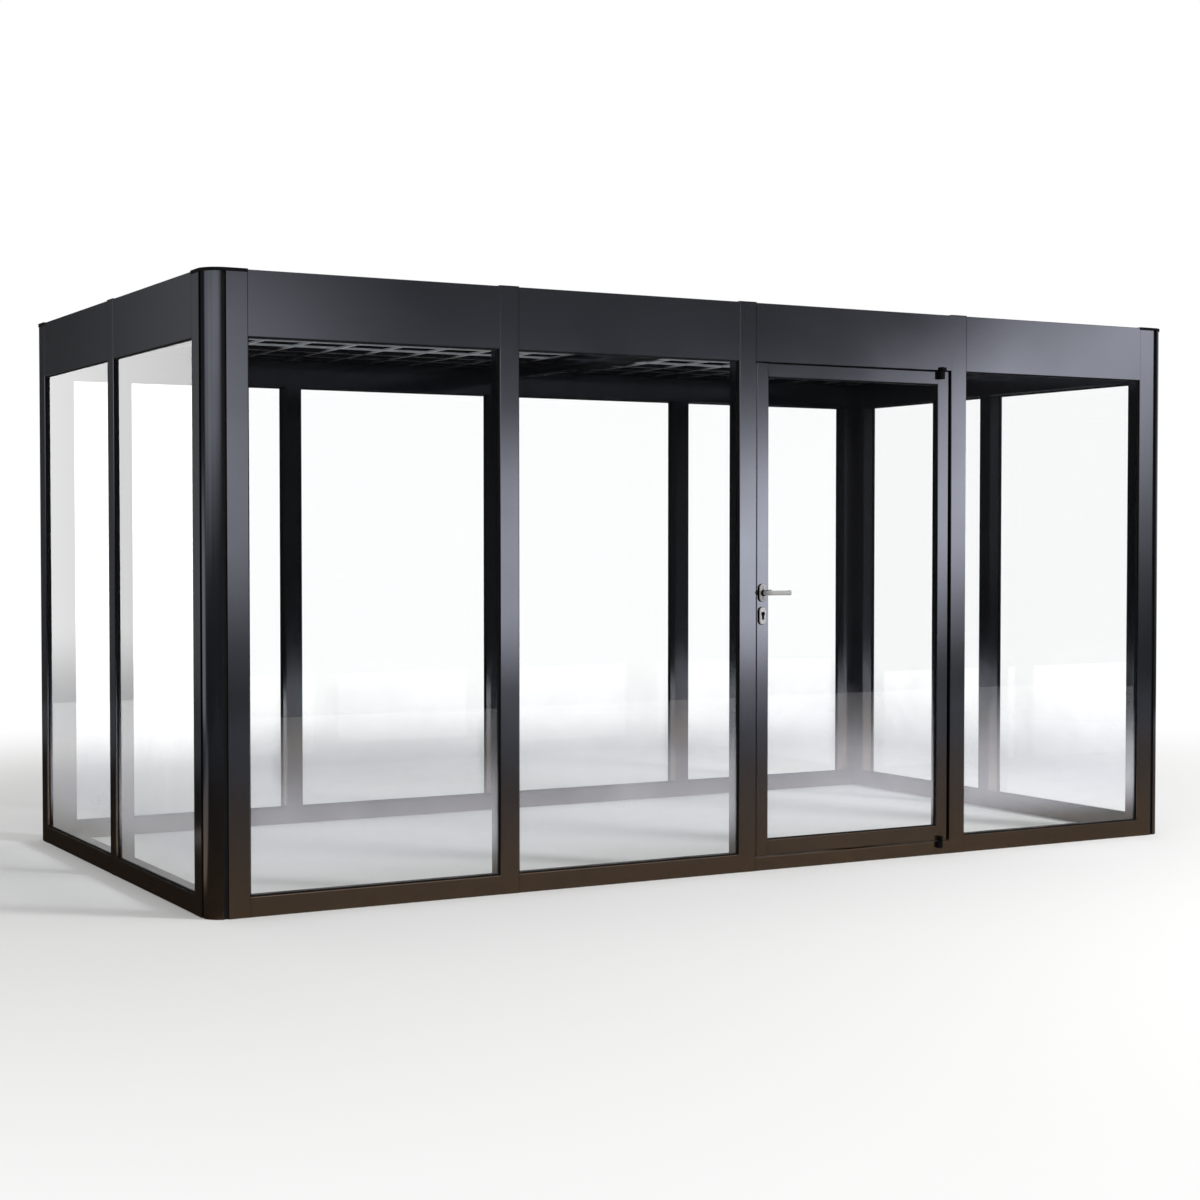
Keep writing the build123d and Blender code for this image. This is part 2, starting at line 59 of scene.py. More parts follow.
def hexColour(code):
    channels = [int(code[i:i + 2], 16) / 255 for i in (1, 3, 5)]
    linear = [c / 12.92 if c <= 0.04045 else ((c + 0.055) / 1.055) ** 2.4 for c in channels]
    return (*linear, 1.0)


def addNode(tree, kind, values=None, **settings):
    node = tree.nodes.new(kind)
    for key, value in settings.items():
        setattr(node, key, value)
    for key, value in (values or {}).items():
        if isinstance(value, bpy.types.NodeSocket):
            tree.links.new(value, node.inputs[key])
        else:
            node.inputs[key].default_value = value
    return node


def newMaterial(name):
    material = bpy.data.materials.new(name)
    material.use_nodes = True
    material.node_tree.nodes.clear()
    return material, material.node_tree


def perMetre(sizeMm):
    return 1 / (sizeMm * mm)  # noise scale for a pattern of this size


# Materials

powderCoatLook = {
    "colour": "#5c5e65",
    "patch": "#56585e",
    # brown of splashed soil and a painted reflection of the brown ground
    "soilAndGroundReflection": "#8e755c",
    "metallic": 0.95,
    "roughness": (0.09, 0.13),
    "peelSize": 4.0,  # mm, real orange peel is near 1.5 mm and too fine to show
    "peelDepth": 0.4,  # mm
    "peelStrength": 0.03,
    "patchSize": 420.0,  # mm
    "soilAndReflectionHeight": 560.0,  # mm, how far the brown of soil and painted ground reflection reaches up
    "soilRoughness": 0.08,  # added where the soil is thickest
    "splashSize": 60.0,  # mm
    "splashShare": (0.8, 1.0),
}


def makePowderCoat():
    # Satin anthracite powder coat over extruded aluminium: a dark metallic sheen, faint orange
    # peel, and a brown film towards the ground, partly splashed soil and partly a painted reflection of the
    # brown ground that the metal mirrors
    look = powderCoatLook
    material, tree = newMaterial("satinPowderCoat")
    place = addNode(tree, "ShaderNodeTexCoord").outputs["Object"]
    height = addNode(tree, "ShaderNodeSeparateXYZ", {0: place}).outputs["Z"]
    patch = addNode(tree, "ShaderNodeTexNoise", {
        "Vector": place, "Scale": perMetre(look["patchSize"]), "Detail": 3.0})
    paint = addNode(tree, "ShaderNodeMix", {
        0: patch.outputs["Fac"], 6: hexColour(look["colour"]), 7: hexColour(look["patch"])},
        data_type="RGBA")
    low = addNode(tree, "ShaderNodeMapRange", {
        "Value": height, "From Min": look["soilAndReflectionHeight"] * mm, "From Max": 0.0})
    splash = addNode(tree, "ShaderNodeTexNoise", {
        "Vector": place, "Scale": perMetre(look["splashSize"]), "Detail": 6.0, "Roughness": 0.65})
    thin, thick = look["splashShare"]
    uneven = addNode(tree, "ShaderNodeMapRange", {
        "Value": splash.outputs["Fac"], "From Min": noiseLow, "From Max": noiseHigh,
        "To Min": thin, "To Max": thick})
    # where the brown lies: soil and a painted reflection of the ground, thickest low down
    soilAndGroundReflection = addNode(tree, "ShaderNodeMath", {
        0: low.outputs["Result"], 1: uneven.outputs["Result"]}, operation="MULTIPLY")
    colour = addNode(tree, "ShaderNodeMix", {
        0: soilAndGroundReflection.outputs[0], 6: paint.outputs[2], 7: hexColour(look["soilAndGroundReflection"])}, data_type="RGBA")
    smooth, dull = look["roughness"]
    satin = addNode(tree, "ShaderNodeMapRange", {
        "Value": patch.outputs["Fac"], "From Min": noiseLow, "From Max": noiseHigh,
        "To Min": smooth, "To Max": dull})
    rough = addNode(tree, "ShaderNodeMath", {
        0: soilAndGroundReflection.outputs[0], 1: look["soilRoughness"], 2: satin.outputs["Result"]},
        operation="MULTIPLY_ADD")
    peel = addNode(tree, "ShaderNodeTexNoise", {
        "Vector": place, "Scale": perMetre(look["peelSize"]), "Detail": 2.0})
    bump = addNode(tree, "ShaderNodeBump", {
        "Height": peel.outputs["Fac"], "Strength": look["peelStrength"],
        "Distance": look["peelDepth"] * mm})
    shader = addNode(tree, "ShaderNodeBsdfPrincipled", {
        "Base Color": colour.outputs[2], "Metallic": look["metallic"], "Roughness": rough.outputs[0],
        "Normal": bump.outputs["Normal"]})
    addNode(tree, "ShaderNodeOutputMaterial", {"Surface": shader.outputs[0]})
    return material


paneLook = {
    "tint": "#fdfefe",
    "mist": "#e2e2ec",
    "mistLevels": (90.0, 280.0, 900.0),  # mm: starts, is thickest, has gone
    "mistShare": 0.3,
    "mistRoughness": 0.8,
    "driftSize": 350.0,  # mm, patches in the upper edge of the mist
    "driftHeight": 350.0,  # mm, how far they reach down
    "dropSize": 9.0,  # mm
    "dropShare": 0.85,  # mist between the drops
    "ior": 1.5,
}


def makePaneGlass():
    # Clear float glass: the faint green of iron in the sheet, mirror reflections that grow
    # towards a glancing view, and a thin mist of condensation on the lowest metre
    look = paneLook
    material, tree = newMaterial("floatGlass")
    place = addNode(tree, "ShaderNodeTexCoord").outputs["Object"]
    height = addNode(tree, "ShaderNodeSeparateXYZ", {0: place}).outputs["Z"]
    starts, thick, gone = [level * mm for level in look["mistLevels"]]
    drift = addNode(tree, "ShaderNodeTexNoise", {
        "Vector": place, "Scale": perMetre(look["driftSize"]), "Detail": 4.0})
    wavy = addNode(tree, "ShaderNodeMath", {
        0: drift.outputs["Fac"], 1: look["driftHeight"] * mm, 2: height}, operation="MULTIPLY_ADD")
    rise = addNode(tree, "ShaderNodeMapRange", {
        "Value": height, "From Min": starts, "From Max": thick}, interpolation_type="SMOOTHSTEP")
    fall = addNode(tree, "ShaderNodeMapRange", {
        "Value": wavy.outputs[0], "From Min": gone, "From Max": thick},
        interpolation_type="SMOOTHSTEP")
    band = addNode(tree, "ShaderNodeMath", {
        0: rise.outputs["Result"], 1: fall.outputs["Result"]}, operation="MULTIPLY")
    drops = addNode(tree, "ShaderNodeTexNoise", {
        "Vector": place, "Scale": perMetre(look["dropSize"]), "Detail": 2.0})
    speckle = addNode(tree, "ShaderNodeMapRange", {
        "Value": drops.outputs["Fac"], "From Min": noiseLow, "From Max": noiseHigh,
        "To Min": look["dropShare"] * look["mistShare"], "To Max": look["mistShare"]})
    mist = addNode(tree, "ShaderNodeMath", {
        0: band.outputs[0], 1: speckle.outputs["Result"]}, operation="MULTIPLY")
    glass = addNode(tree, "ShaderNodeBsdfPrincipled", {
        "Base Color": hexColour(look["tint"]), "Roughness": 0.0, "IOR": look["ior"],
        "Transmission Weight": 1.0})
    clear = addNode(tree, "ShaderNodeBsdfTransparent", {"Color": hexColour(look["tint"])})
    path = addNode(tree, "ShaderNodeLightPath")
    lamps = addNode(tree, "ShaderNodeMath", {
        0: path.outputs["Is Shadow Ray"], 1: path.outputs["Is Diffuse Ray"]},
        operation="MAXIMUM")
    pane = addNode(tree, "ShaderNodeMixShader", {
        0: lamps.outputs[0], 1: glass.outputs[0], 2: clear.outputs[0]})
    filmOrPaintedShade = addNode(tree, "ShaderNodeBsdfPrincipled", {
        "Base Color": hexColour(look["mist"]), "Roughness": look["mistRoughness"]})
    misty = addNode(tree, "ShaderNodeMixShader", {
        0: mist.outputs[0], 1: pane.outputs[0], 2: filmOrPaintedShade.outputs[0]})
    addNode(tree, "ShaderNodeOutputMaterial", {"Surface": misty.outputs[0]})
    return material


rubberLook = {
    "colour": "#0b0b0c",
    "bloom": "#1b1b1d",
    "bloomSize": 45.0,  # mm
    "roughness": 0.62,
}


def makeRubber():
    # Extruded black rubber: matt with a faint grey bloom
    look = rubberLook
    material, tree = newMaterial("blackRubber")
    place = addNode(tree, "ShaderNodeTexCoord").outputs["Object"]
    bloom = addNode(tree, "ShaderNodeTexNoise", {
        "Vector": place, "Scale": perMetre(look["bloomSize"]), "Detail": 5.0})
    colour = addNode(tree, "ShaderNodeMix", {
        0: bloom.outputs["Fac"], 6: hexColour(look["colour"]), 7: hexColour(look["bloom"])},
        data_type="RGBA")
    shader = addNode(tree, "ShaderNodeBsdfPrincipled", {
        "Base Color": colour.outputs[2], "Roughness": look["roughness"]})
    addNode(tree, "ShaderNodeOutputMaterial", {"Surface": shader.outputs[0]})
    return material


paintLook = {
    "roughnessSpread": 0.08,
    "wearRatio": 40,  # size of a worn patch, in grains
    "grainDepth": 0.2,  # mm
    "grainStrength": 0.15,
    "specular": 0.12,  # dull black, with little gloss
}


def makePaint(name, colour, worn, roughness, grainSize):
    # Black stoved paint with a fine grain, handled or weathered to a second shade in places
    look = paintLook
    material, tree = newMaterial(name)
    place = addNode(tree, "ShaderNodeTexCoord").outputs["Object"]
    grain = addNode(tree, "ShaderNodeTexNoise", {
        "Vector": place, "Scale": perMetre(grainSize), "Detail": 3.0})
    rough = addNode(tree, "ShaderNodeMapRange", {
        "Value": grain.outputs["Fac"], "To Min": roughness - look["roughnessSpread"],
        "To Max": roughness + look["roughnessSpread"]})
    wear = addNode(tree, "ShaderNodeTexNoise", {
        "Vector": place, "Scale": perMetre(look["wearRatio"] * grainSize), "Detail": 5.0})
    shade = addNode(tree, "ShaderNodeMix", {
        0: wear.outputs["Fac"], 6: hexColour(colour), 7: hexColour(worn)}, data_type="RGBA")
    bump = addNode(tree, "ShaderNodeBump", {
        "Height": grain.outputs["Fac"], "Strength": look["grainStrength"],
        "Distance": look["grainDepth"] * mm})
    shader = addNode(tree, "ShaderNodeBsdfPrincipled", {
        "Base Color": shade.outputs[2], "Roughness": rough.outputs["Result"],
        "Specular IOR Level": look["specular"], "Normal": bump.outputs["Normal"]})
    addNode(tree, "ShaderNodeOutputMaterial", {"Surface": shader.outputs[0]})
    return material


roofSheetLook = {
    "colour": "#0c0d0e",
    "rib": "#141517",
    "ribSpacing": 16.0,  # mm between the walls inside the sheet
    "ribDepth": 0.6,  # mm
    "ribStrength": 0.2,
    "roughness": 0.45,
    "ior": 1.58,
    "sheen": (0.0, 0.25),  # specular level below and above
    "sheenEdge": (0.0, 0.5),  # how far a face points up where one turns into the other
}


def makeRoofSheet():
    # Twin-wall polycarbonate in near black: a soft sheen above and matt below, with the inner walls
    # as fine stripes
    look = roofSheetLook
    material, tree = newMaterial("twinWallSheet")
    place = addNode(tree, "ShaderNodeTexCoord").outputs["Object"]
    waveLength = math.pi / 10  # m from band to band at a scale of 1
    ribs = addNode(tree, "ShaderNodeTexWave", {
        "Vector": place, "Scale": waveLength * perMetre(look["ribSpacing"])}, bands_direction="X")
    colour = addNode(tree, "ShaderNodeMix", {
        0: ribs.outputs["Fac"], 6: hexColour(look["colour"]), 7: hexColour(look["rib"])},
        data_type="RGBA")
    bump = addNode(tree, "ShaderNodeBump", {
        "Height": ribs.outputs["Fac"], "Strength": look["ribStrength"],
        "Distance": look["ribDepth"] * mm})
    normal = addNode(tree, "ShaderNodeNewGeometry").outputs["Normal"]
    upward = addNode(tree, "ShaderNodeSeparateXYZ", {0: normal}).outputs["Z"]
    below, above = look["sheen"]
    level, raised = look["sheenEdge"]
    sheen = addNode(tree, "ShaderNodeMapRange", {
        "Value": upward, "From Min": level, "From Max": raised, "To Min": below, "To Max": above})
    shader = addNode(tree, "ShaderNodeBsdfPrincipled", {
        "Base Color": colour.outputs[2], "Roughness": look["roughness"], "IOR": look["ior"],
        "Specular IOR Level": sheen.outputs["Result"], "Normal": bump.outputs["Normal"]})
    addNode(tree, "ShaderNodeOutputMaterial", {"Surface": shader.outputs[0]})
    return material


steelLook = {
    "pale": "#d8d8d6",
    "dark": "#bcbcba",
    "metallic": 0.5,  # half, because a full metal came out too dark
    "roughness": (0.32, 0.5),
    "scratchWidth": 1.2,  # mm, far wider than real ones, which would not show
    "stretch": (0.05, 1, 1),  # long along the lever
}


def makeBrushedSteel():
    # Satin stainless steel: fine scratches along one way that streak the highlight
    look = steelLook
    material, tree = newMaterial("satinStainless")
    place = addNode(tree, "ShaderNodeTexCoord").outputs["Object"]
    along = addNode(tree, "ShaderNodeMapping", {"Vector": place, "Scale": look["stretch"]})
    scratch = addNode(tree, "ShaderNodeTexNoise", {
        "Vector": along.outputs[0], "Scale": perMetre(look["scratchWidth"]), "Detail": 4.0})
    colour = addNode(tree, "ShaderNodeMix", {
        0: scratch.outputs["Fac"], 6: hexColour(look["pale"]), 7: hexColour(look["dark"])},
        data_type="RGBA")
    smooth, dull = look["roughness"]
    rough = addNode(tree, "ShaderNodeMapRange", {
        "Value": scratch.outputs["Fac"], "To Min": smooth, "To Max": dull})
    shader = addNode(tree, "ShaderNodeBsdfPrincipled", {
        "Base Color": colour.outputs[2], "Metallic": look["metallic"],
        "Roughness": rough.outputs["Result"]})
    addNode(tree, "ShaderNodeOutputMaterial", {"Surface": shader.outputs[0]})
    return material


latticeLook = {
    "colour": "#c3c6cc",
    "worn": "#b0b3b8",
    # painted shade on the bars towards the back wall
    "filmOrPaintedShade": "#1b1c1e",
    "paintedShadeEdge": (500.0, 660.0),  # mm behind the middle, where the painted shade sets in
    "wearSize": 70.0,  # mm
    "roughness": (0.36, 0.55),
}


def makeLatticePaint():
    # Pale grey stoved paint on flat bars: satin, patchy with wear, and darkened towards the back wall
    # by painted shade, which stands for the light that does not reach so far in
    look = latticeLook
    material, tree = newMaterial("paleGreyPaint")
    place = addNode(tree, "ShaderNodeTexCoord").outputs["Object"]
    back = addNode(tree, "ShaderNodeSeparateXYZ", {0: place}).outputs["Y"]
    wear = addNode(tree, "ShaderNodeTexNoise", {
        "Vector": place, "Scale": perMetre(look["wearSize"]), "Detail": 5.0})
    paint = addNode(tree, "ShaderNodeMix", {
        0: wear.outputs["Fac"], 6: hexColour(look["colour"]), 7: hexColour(look["worn"])},
        data_type="RGBA")
    edge = [level * mm for level in look["paintedShadeEdge"]]
    # painted shade: the bars turn dark towards the back wall
    filmOrPaintedShade = addNode(tree, "ShaderNodeMapRange", {
        "Value": back, "From Min": edge[0], "From Max": edge[1]}, interpolation_type="SMOOTHSTEP")
    colour = addNode(tree, "ShaderNodeMix", {
        0: filmOrPaintedShade.outputs["Result"], 6: paint.outputs[2], 7: hexColour(look["filmOrPaintedShade"])},
        data_type="RGBA")
    smooth, dull = look["roughness"]
    rough = addNode(tree, "ShaderNodeMapRange", {
        "Value": wear.outputs["Fac"], "To Min": smooth, "To Max": dull})
    shader = addNode(tree, "ShaderNodeBsdfPrincipled", {
        "Base Color": colour.outputs[2], "Roughness": rough.outputs["Result"]})
    addNode(tree, "ShaderNodeOutputMaterial", {"Surface": shader.outputs[0]})
    return material


finishes = {
    "powder_coat": makePowderCoat(),
    "black_cap": makePaint("blackCapPaint", "#0c0d0f", "#141518", 0.5, 2.0),
    "glass": makePaneGlass(),
    "gasket_rubber": makeRubber(),
    "roof_sheet": makeRoofSheet(),
    "lattice_aluminium": makeLatticePaint(),
    "black_steel": makePaint("blackStovedSteel", "#090909", "#101011", 0.5, 1.5),
    "satin_steel": makeBrushedSteel(),
}

for node in nodes.values():
    for materialSlot in node.material_slots:
        materialSlot.material = finishes[materialSlot.material.name]
print("materials set:", ", ".join(finishes))


# Pieces that replace or dress the CAD nodes

def addRing(bm, centre, facing, radius, stretch=0.0, segments=48):
    # A ring of edges round a point, drawn out up and down into an oval by stretch
    ring = bmesh.ops.create_circle(bm, segments=segments, radius=radius)["verts"]
    halfStep = Matrix.Rotation(math.pi / segments, 3, "Z")
    bmesh.ops.rotate(bm, verts=ring, cent=(0, 0, 0), matrix=halfStep)
    for vert in ring:
        vert.co.y += math.copysign(stretch, vert.co.y)
    turn = Vector(facing).to_track_quat("Z", "Y").to_matrix().to_4x4()
    bmesh.ops.transform(bm, matrix=Matrix.Translation(centre) @ turn, verts=ring)
    return list(dict.fromkeys(edge for vert in ring for edge in vert.link_edges))  # in a fixed order


def skinRings(bm, rings, ends):
    for first, second in zip(rings, rings[1:]):
        bmesh.ops.bridge_loops(bm, edges=first + second)
    for end in ends:
        bmesh.ops.edgeloop_fill(bm, edges=rings[end])


def roundEdge(radius, depth, edge, steps=4):
    # Radius and depth along a rounded edge, from the wall to the face in front of it
    turns = [math.radians(90) * step / steps for step in range(steps + 1)]
    return [(radius - edge * (1 - math.cos(turn)), depth - edge * (1 - math.sin(turn))) for turn in turns]


def addBar(bm, low, high):
    bar = bmesh.ops.create_cube(bm, size=1.0)["verts"]
    bmesh.ops.scale(bm, vec=[b - a for a, b in zip(low, high)], verts=bar)
    bmesh.ops.translate(bm, vec=[(a + b) / 2 for a, b in zip(low, high)], verts=bar)


def finishPiece(name, bm, finish, body):
    bmesh.ops.recalc_face_normals(bm, faces=bm.faces)
    mesh = bpy.data.meshes.new(name)
    bm.to_mesh(mesh)
    bm.free()
    mesh.materials.append(finishes[finish])
    mesh.shade_smooth()
    mesh.set_sharp_from_angle(angle=math.radians(sharpAngle))
    piece = bpy.data.objects.new(name, mesh)
    bpy.context.scene.collection.objects.link(piece)
    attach(piece, body)
    return piece


leafLow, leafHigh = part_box("door_latch_stile")
leafFaces = ((leafLow[1], -1), (leafHigh[1], 1))  # front and back of the leaf, with the way out of it
leverAxis = Vector(joints["lever_turn"]["pos_m"])

leverLook = {
    "barRadius": 9.5 * mm,
    "bend": 17.0 * mm,  # radius of the bend along the middle of the bar
    "bendSteps": 12,
    "flare": 1.2 * mm,  # how much the bar widens at its end
    "flareLength": 16.0 * mm,
    "endRound": 2.4 * mm,
    "neckStart": 1.0 * mm,  # clear of the leaf
    "spindleRadius": 5.2 * mm,
    "spindleOverlap": 0.5 * mm,
}


def makeLever(name, node, leafFace, out):
    # Round bar that comes straight out of its rose, bends towards the hinges and ends in a faint flare
    look = leverLook
    low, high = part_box(node)
    endRadius = look["barRadius"] + look["flare"]
    barY = low[1] + endRadius if out < 0 else high[1] - endRadius
    bendY = barY - out * look["bend"]
    bm = bmesh.new()

    def ring(x, y, facing, radius):
        return addRing(bm, (x, y, leverAxis.z), facing, radius)

    rings = [ring(leverAxis.x, leafFace + out * look["neckStart"], (0, out, 0), look["barRadius"])]
    for step in range(look["bendSteps"] + 1):
        turn = math.radians(90) * step / look["bendSteps"]
        rings.append(ring(
            leverAxis.x + look["bend"] * (1 - math.cos(turn)), bendY + out * look["bend"] * math.sin(turn),
            (math.sin(turn), out * math.cos(turn), 0), look["barRadius"]))
    rings.append(ring(high[0] - look["flareLength"], barY, (1, 0, 0), look["barRadius"]))
    for radius, reach in roundEdge(endRadius, look["flareLength"], look["endRound"]):
        rings.append(ring(high[0] - look["flareLength"] + reach, barY, (1, 0, 0), radius))
    skinRings(bm, rings, (0, -1))
    if out < 0:
        ends = [addRing(bm, (leverAxis.x, y, leverAxis.z), (0, 1, 0), look["spindleRadius"], segments=4)
                for y in (leafFace - out * look["spindleOverlap"], leafHigh[1])]
        skinRings(bm, ends, (0, -1))
    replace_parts(finishPiece(name, bm, "satin_steel", "lever"), node)


for leverName, leverNode, (leafFace, out) in zip(
        ("outsideLever", "insideLever"), ("outside_lever", "inside_lever"), leafFaces):
    makeLever(leverName, leverNode, leafFace, out)

roseLow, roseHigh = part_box("handle_roses")
barrelLow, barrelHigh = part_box("lock_cylinder")
roseLook = {
    "halfWidth": (roseHigh[0] - roseLow[0]) / 2,
    "thickness": leafLow[1] - roseLow[1],
    "stretch": 20.5 * mm,  # half of the straight stretch of the oval
    "base": 6.0 * mm,  # thickness of the dark plate under the cover
    "coverInset": 0.8 * mm,
    "edge": 2.6 * mm,
    "bore": 10.2 * mm,
    "sleeveRadius": 11.8 * mm,
    "sleeveProud": 15.0 * mm,
    "sleeveEdge": 1.0 * mm,
    "barrelRadius": 8.5 * mm,
    "barrelEdge": 0.6 * mm,
    "plugRadius": 6.3 * mm,
    "plugSink": 0.5 * mm,  # depth and width of the groove round the plug
    "tailRadius": 5.0 * mm,
    "tailSink": 0.2 * mm,
    "edgeSteps": 2,
    "slot": (0.9 * mm, 3.2 * mm, 3.0 * mm),  # half width, half length of its straight stretch, depth
}


def makeHandleSet():
    # Oval steel covers on dark plates, a dark sleeve round each lever's neck, and the key barrel
    look = roseLook
    covers = bmesh.new()
    darkParts = bmesh.new()
    barrel = bmesh.new()
    roseLevels = (leverAxis.z, roseLow[2] + look["halfWidth"] + look["stretch"])
    barrelLevel = barrelHigh[2] - look["barrelRadius"]
    tailRadius = look["tailRadius"]
    tailStretch = (barrelHigh[2] - barrelLow[2] - look["barrelRadius"]) / 2 - tailRadius
    tailLevel = barrelLow[2] + tailRadius + tailStretch
    for leafFace, out in leafFaces:
        facing = (0, out, 0)

        def ring(bm, level, proud, radius, stretch=0.0):
            return addRing(bm, (leverAxis.x, leafFace + out * proud, level), facing, radius, stretch)

        for level in roseLevels:
            plate = [(look["halfWidth"], 0.0), (look["halfWidth"], look["base"])]
            profile = [(look["halfWidth"] - look["coverInset"], look["base"])]
            profile += roundEdge(look["halfWidth"] - look["coverInset"], look["thickness"], look["edge"])
            dark = [ring(darkParts, level, proud, radius, look["stretch"]) for radius, proud in plate]
            cover = [ring(covers, level, proud, radius, look["stretch"]) for radius, proud in profile]
            if level == leverAxis.z:
                dark += [ring(darkParts, level, proud, look["bore"]) for proud in (look["base"], 0.0)]
                cover += [ring(covers, level, proud, look["bore"])
                          for proud in (look["thickness"], look["base"])]
                skinRings(darkParts, dark, ())
                skinRings(covers, cover, ())
                sleeveEnd = look["thickness"] + look["sleeveProud"]
                sleeve = [(look["sleeveRadius"], look["thickness"])]
                sleeve += roundEdge(look["sleeveRadius"], sleeveEnd, look["sleeveEdge"])
                sleeve += [(look["bore"], sleeveEnd), (look["bore"], look["thickness"])]
                skinRings(darkParts, [ring(darkParts, level, proud, radius) for radius, proud in sleeve], ())
            else:
                skinRings(darkParts, dark, (-1,))
                skinRings(covers, cover, (-1,))
        face = leafLow[1] - barrelLow[1]
        sunk = face - look["plugSink"]
        body = roundEdge(look["barrelRadius"], face, look["barrelEdge"], look["edgeSteps"])
        rings = [ring(barrel, barrelLevel, 0, look["barrelRadius"])]
        rings += [ring(barrel, barrelLevel, proud, radius) for radius, proud in body]
        rings += [ring(barrel, barrelLevel, proud, look["plugRadius"]) for proud in (face, sunk)]
        rings.append(ring(barrel, barrelLevel, sunk, look["plugRadius"] - look["plugSink"]))
        slotHalf, slotStretch, slotDepth = look["slot"]
        rings += [ring(barrel, barrelLevel, proud, slotHalf, slotStretch)
                  for proud in (sunk, face - slotDepth)]
        skinRings(barrel, rings, (-1,))
        tail = [(tailRadius, 0.0)]
        tail += roundEdge(tailRadius, face - look["tailSink"], look["barrelEdge"], look["edgeSteps"])
        rings = [ring(barrel, tailLevel, proud, radius, tailStretch) for radius, proud in tail]
        skinRings(barrel, rings, (-1,))
    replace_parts(finishPiece("roseCovers", covers, "satin_steel", "door"), "handle_roses")
    finishPiece("roseBases", darkParts, "black_steel", "door")
    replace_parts(finishPiece("keyBarrel", barrel, "black_steel", "door"), "lock_cylinder")


makeHandleSet()

pivotLook = {
    "edge": 1.4 * mm,
    "pinRadius": 4.0 * mm,
    "boreRadius": 4.3 * mm,
    "boreDepth": 12.0 * mm,
    "headRadius": 6.2 * mm,
    "headHeight": 2.4 * mm,
    "socketRadius": 2.9 * mm,
    "socketFloor": 0.6 * mm,
    "headEdge": 1.2 * mm,
    "play": 1.5 * mm,  # between the two blocks
    "armHeight": 32.0 * mm,
    "footArmHeight": 20.0 * mm,
    "wing": 9.0 * mm,  # how far a block reaches sideways
}
pivotAxis = Vector(joints["door_swing"]["pos_m"])
lugLow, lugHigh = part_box("pivot_lugs")
armLow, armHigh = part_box("pivot_arms")


def addKnuckle(bm, radius, back, level, wing):
    # Outline of a pivot block at one level: round in front and square where it meets what carries it
    outline = addRing(bm, (0, 0, 0), (0, 0, 1), radius)
    for vert in {vert for edge in outline for vert in edge.verts}:
        reach = wing if vert.co.x * wing > 0 else 0.0
        y = back if vert.co.y > 0 else pivotAxis.y + vert.co.y
        vert.co = (pivotAxis.x + vert.co.x + reach, y, level)
    return outline


def makePivots():
    # Black pivot blocks with eased edges: those on the frame have a pin and a socket screw, those on
    # the leaf a bore
    look = pivotLook
    lugs = bmesh.new()
    arms = bmesh.new()
    radius = (lugHigh[0] - lugLow[0]) / 2
    # Each pivot: level of its lug's joint face, of its arm's joint face and of their far ends, then
    # how far each reaches sideways
    pivots = (
        (armHigh[2] + look["play"], armHigh[2], lugHigh[2], armHigh[2] - look["armHeight"],
         look["wing"], -look["wing"]),
        (armLow[2] - look["play"], armLow[2], lugLow[2], armLow[2] + look["footArmHeight"],
         -look["wing"], 0.0),
    )

    def blockEdges(height):
        end = roundEdge(radius, height, look["edge"])
        return [(r, height - reach) for r, reach in reversed(end)] + end

    for lugFace, armFace, lugEnd, armEnd, lugWing, armWing in pivots:
        up = math.copysign(1.0, lugEnd - lugFace)

        def axisRing(bm, level, ringRadius, segments=48):
            return addRing(bm, (pivotAxis.x, pivotAxis.y, level), (0, 0, 1), ringRadius, segments=segments)

        lug = [addKnuckle(lugs, r, lugHigh[1], lugFace + up * reach, lugWing)
               for r, reach in blockEdges(abs(lugEnd - lugFace))]
        skinRings(lugs, lug, (0, -1))
        pin = [axisRing(lugs, level, look["pinRadius"])
               for level in (lugFace, lugFace - up * look["boreDepth"])]
        skinRings(lugs, pin, (-1,))
        head = roundEdge(look["headRadius"], look["headHeight"], look["headEdge"])
        rings = [axisRing(lugs, lugEnd, look["headRadius"])]
        rings += [axisRing(lugs, lugEnd + up * reach, r) for r, reach in head]
        rings += [axisRing(lugs, lugEnd + up * reach, look["socketRadius"], 6)
                  for reach in (look["headHeight"], look["socketFloor"])]
        skinRings(lugs, rings, (-1,))
        arm = [axisRing(arms, armFace - up * look["boreDepth"], look["boreRadius"])]
        arm.append(axisRing(arms, armFace, look["boreRadius"]))
        arm += [addKnuckle(arms, r, armHigh[1], armFace - up * reach, armWing)
                for r, reach in blockEdges(abs(armEnd - armFace))]
        skinRings(arms, arm, (0, -1))
    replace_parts(finishPiece("pivotBlocksOnFrame", lugs, "black_steel", "frame"), "pivot_lugs")
    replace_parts(finishPiece("pivotBlocksOnDoor", arms, "black_steel", "door"), "pivot_arms")


makePivots()

lipLook = {
    "width": 4.0 * mm,
    "setback": 3.0 * mm,  # behind the front of the leaf
    "depth": 14.0 * mm,
    "endGap": 12.0 * mm,
    "edge": 1.0 * mm,
    "edgeSteps": 3,
}


def makeLatchLip():
    # Aluminium lip that covers most of the gap beside the latch
    look = lipLook
    bm = bmesh.new()
    edgeX = leafLow[0] - look["width"]
    front = leafLow[1] + look["setback"]
    addBar(bm, (edgeX, front, leafLow[2] + look["endGap"]),
           (leafLow[0], front + look["depth"], leafHigh[2] - look["endGap"]))
    outer = [edge for edge in bm.edges
             if all(vert.co.x < leafLow[0] - look["width"] / 2 for vert in edge.verts)]
    bmesh.ops.bevel(bm, geom=outer, offset=look["edge"], offset_type="OFFSET", affect="EDGES",
                    segments=look["edgeSteps"], profile=0.5, material=-1)
    finishPiece("latchLip", bm, "powder_coat", "door")


makeLatchLip()

sealLook = {
    "clearance": 1.5 * mm,  # to the leaf
    "setback": 20.0 * mm,  # behind the front of the leaf
    "depth": 12.0 * mm,
}


